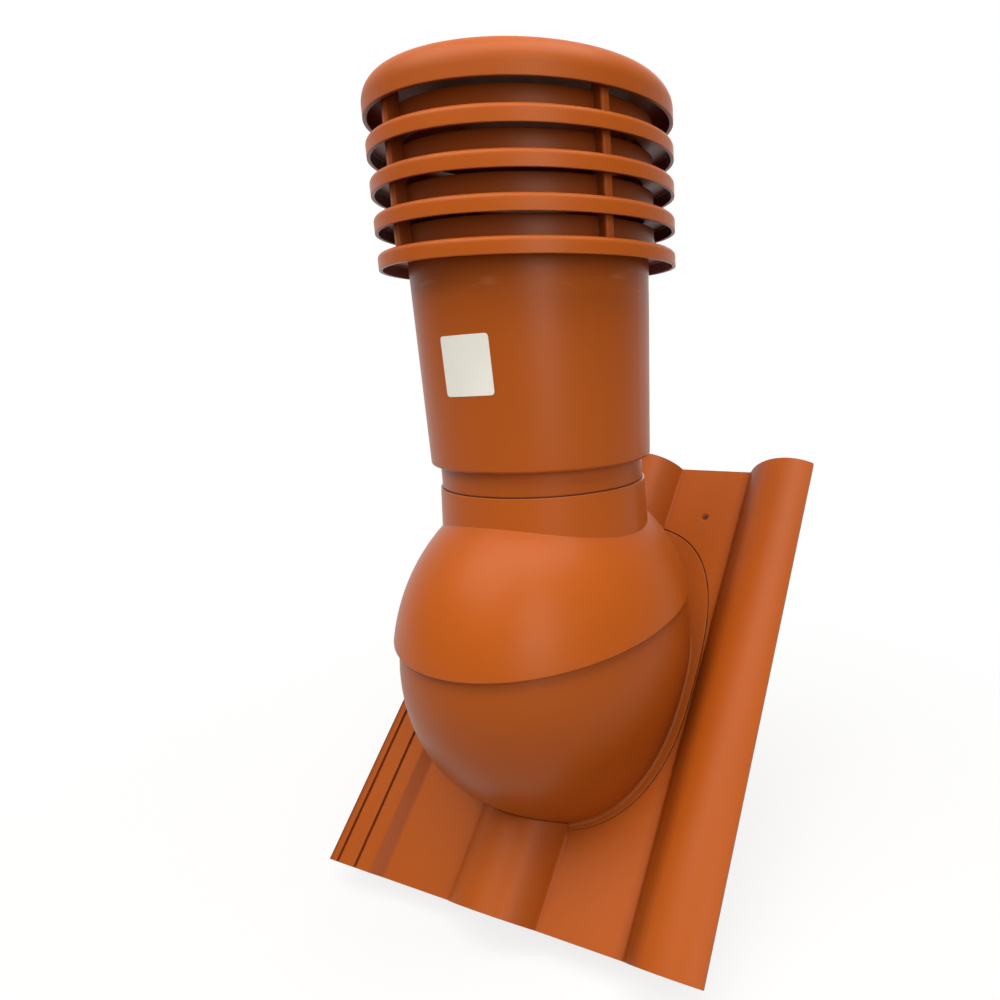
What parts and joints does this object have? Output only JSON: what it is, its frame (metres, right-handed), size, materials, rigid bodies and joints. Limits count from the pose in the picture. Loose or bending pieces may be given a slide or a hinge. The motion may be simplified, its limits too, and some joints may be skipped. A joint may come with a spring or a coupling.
{
  "type": "roof tile vent",
  "caption": "Double-roman roof tile with a socket dome, a swivel hood that sets the pipe plumb, an insulated duct pipe and a louvred rain cap with domed lid.",
  "frame": {"origin": "middle of the bearing face of the hanging lip under the tile's head, where it hooks on the roof batten", "axes": "+Z plumb, up along the pipe; +X across the roof, towards the tile's side roll; +Y up the slope, horizontally. The tile lies at a pitch of 43 degrees."},
  "size_m": [0.33, 0.3466, 0.5892],
  "materials": {
    "roof_tile": "satin terracotta, moulded",
    "socket_dome": "satin terracotta, moulded",
    "flange_gasket": "matt black rubber",
    "flange_screws": "stainless steel",
    "swivel_hood": "satin terracotta, moulded",
    "clamp_saddle": "brown-red plastic",
    "clamp_washers": "stainless steel",
    "clamp_screws": "stainless steel",
    "hood_seal": "black felt",
    "collar_seal": "matt black rubber",
    "outer_casing": "satin terracotta, moulded",
    "insulation_shell": "pale grey foam",
    "duct_pipe": "smooth dark grey plastic",
    "insulation_cover": "satin terracotta, moulded",
    "louvre_ring_1": "satin terracotta, moulded",
    "louvre_ring_2": "satin terracotta, moulded",
    "louvre_ring_3": "satin terracotta, moulded",
    "louvre_ring_4": "satin terracotta, moulded",
    "cap_lid": "satin terracotta, moulded",
    "cap_screws": "stainless steel"
  },
  "bodies": {
    "roof_piece": {"roof_tile": "roof_tile", "socket_dome": "socket_dome", "flange_gasket": "flange_gasket", "flange_screws": "flange_screws"},
    "pipe_piece": {"swivel_hood": "swivel_hood", "clamp_saddle": "clamp_saddle", "clamp_washers": "clamp_washers", "clamp_screws": "clamp_screws", "hood_seal": "hood_seal", "collar_seal": "collar_seal", "outer_casing": "outer_casing", "insulation_shell": "insulation_shell", "duct_pipe": "duct_pipe", "insulation_cover": "insulation_cover", "louvre_ring_1": "louvre_ring_1", "louvre_ring_2": "louvre_ring_2", "louvre_ring_3": "louvre_ring_3", "louvre_ring_4": "louvre_ring_4", "cap_lid": "cap_lid", "cap_screws": "cap_screws"}
  },
  "joints": [
    {"name": "pitch_adjust", "type": "hinge", "parent": "roof_piece", "child": "pipe_piece", "pos_m": [0, -0.2053, -0.09656], "axis": [1, 0, 0], "range_deg": [-2, 27]}
  ]
}
